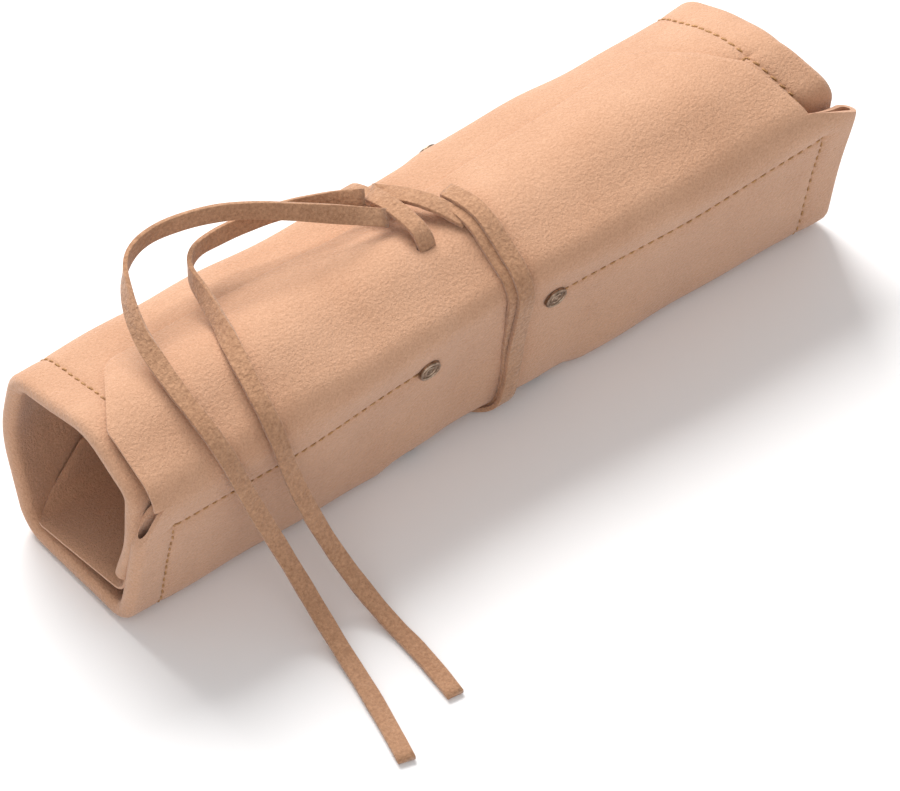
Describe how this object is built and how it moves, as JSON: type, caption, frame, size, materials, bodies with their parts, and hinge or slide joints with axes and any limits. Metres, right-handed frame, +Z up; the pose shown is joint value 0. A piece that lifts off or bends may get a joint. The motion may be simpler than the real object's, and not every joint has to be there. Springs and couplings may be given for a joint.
{
  "type": "carving tool roll",
  "caption": "Rolled leather carving tool roll with folded-in pocket margins, stitched seams, rivets at the pocket mouths and a flat lace tied round its waist.",
  "frame": {"origin": "middle of the side it rests on: half way along the roll and half way across it, on the resting surface", "axes": "+X along the roll, +Z up, -Y towards the wall that the closing flap folds down to"},
  "size_m": [0.326, 0.1893, 0.1173],
  "materials": {
    "nubuck_leather": "matt nubuck, peach tan",
    "lace_leather": "rough suede",
    "waxed_thread": "waxed ochre thread",
    "aged_brass": "aged, dark in the rings"
  },
  "bodies": {
    "root": {"lace_knot": "lace_leather", "lace_over_strand": "lace_leather", "lace_tail_long": "lace_leather", "lace_tail_short": "lace_leather", "lace_under_strand": "lace_leather", "leather_sheet": "nubuck_leather", "rim_thread_left": "waxed_thread", "rim_thread_right": "waxed_thread", "rivet_caps_left": "aged_brass", "rivet_caps_right": "aged_brass", "rivet_posts_left": "aged_brass", "rivet_posts_right": "aged_brass", "seam_thread_left_1": "waxed_thread", "seam_thread_left_2": "waxed_thread", "seam_thread_left_3": "waxed_thread", "seam_thread_left_4": "waxed_thread", "seam_thread_left_5": "waxed_thread", "seam_thread_left_6": "waxed_thread", "seam_thread_right_1": "waxed_thread", "seam_thread_right_2": "waxed_thread", "seam_thread_right_3": "waxed_thread", "seam_thread_right_4": "waxed_thread", "seam_thread_right_5": "waxed_thread", "seam_thread_right_6": "waxed_thread"}
  },
  "joints": []
}
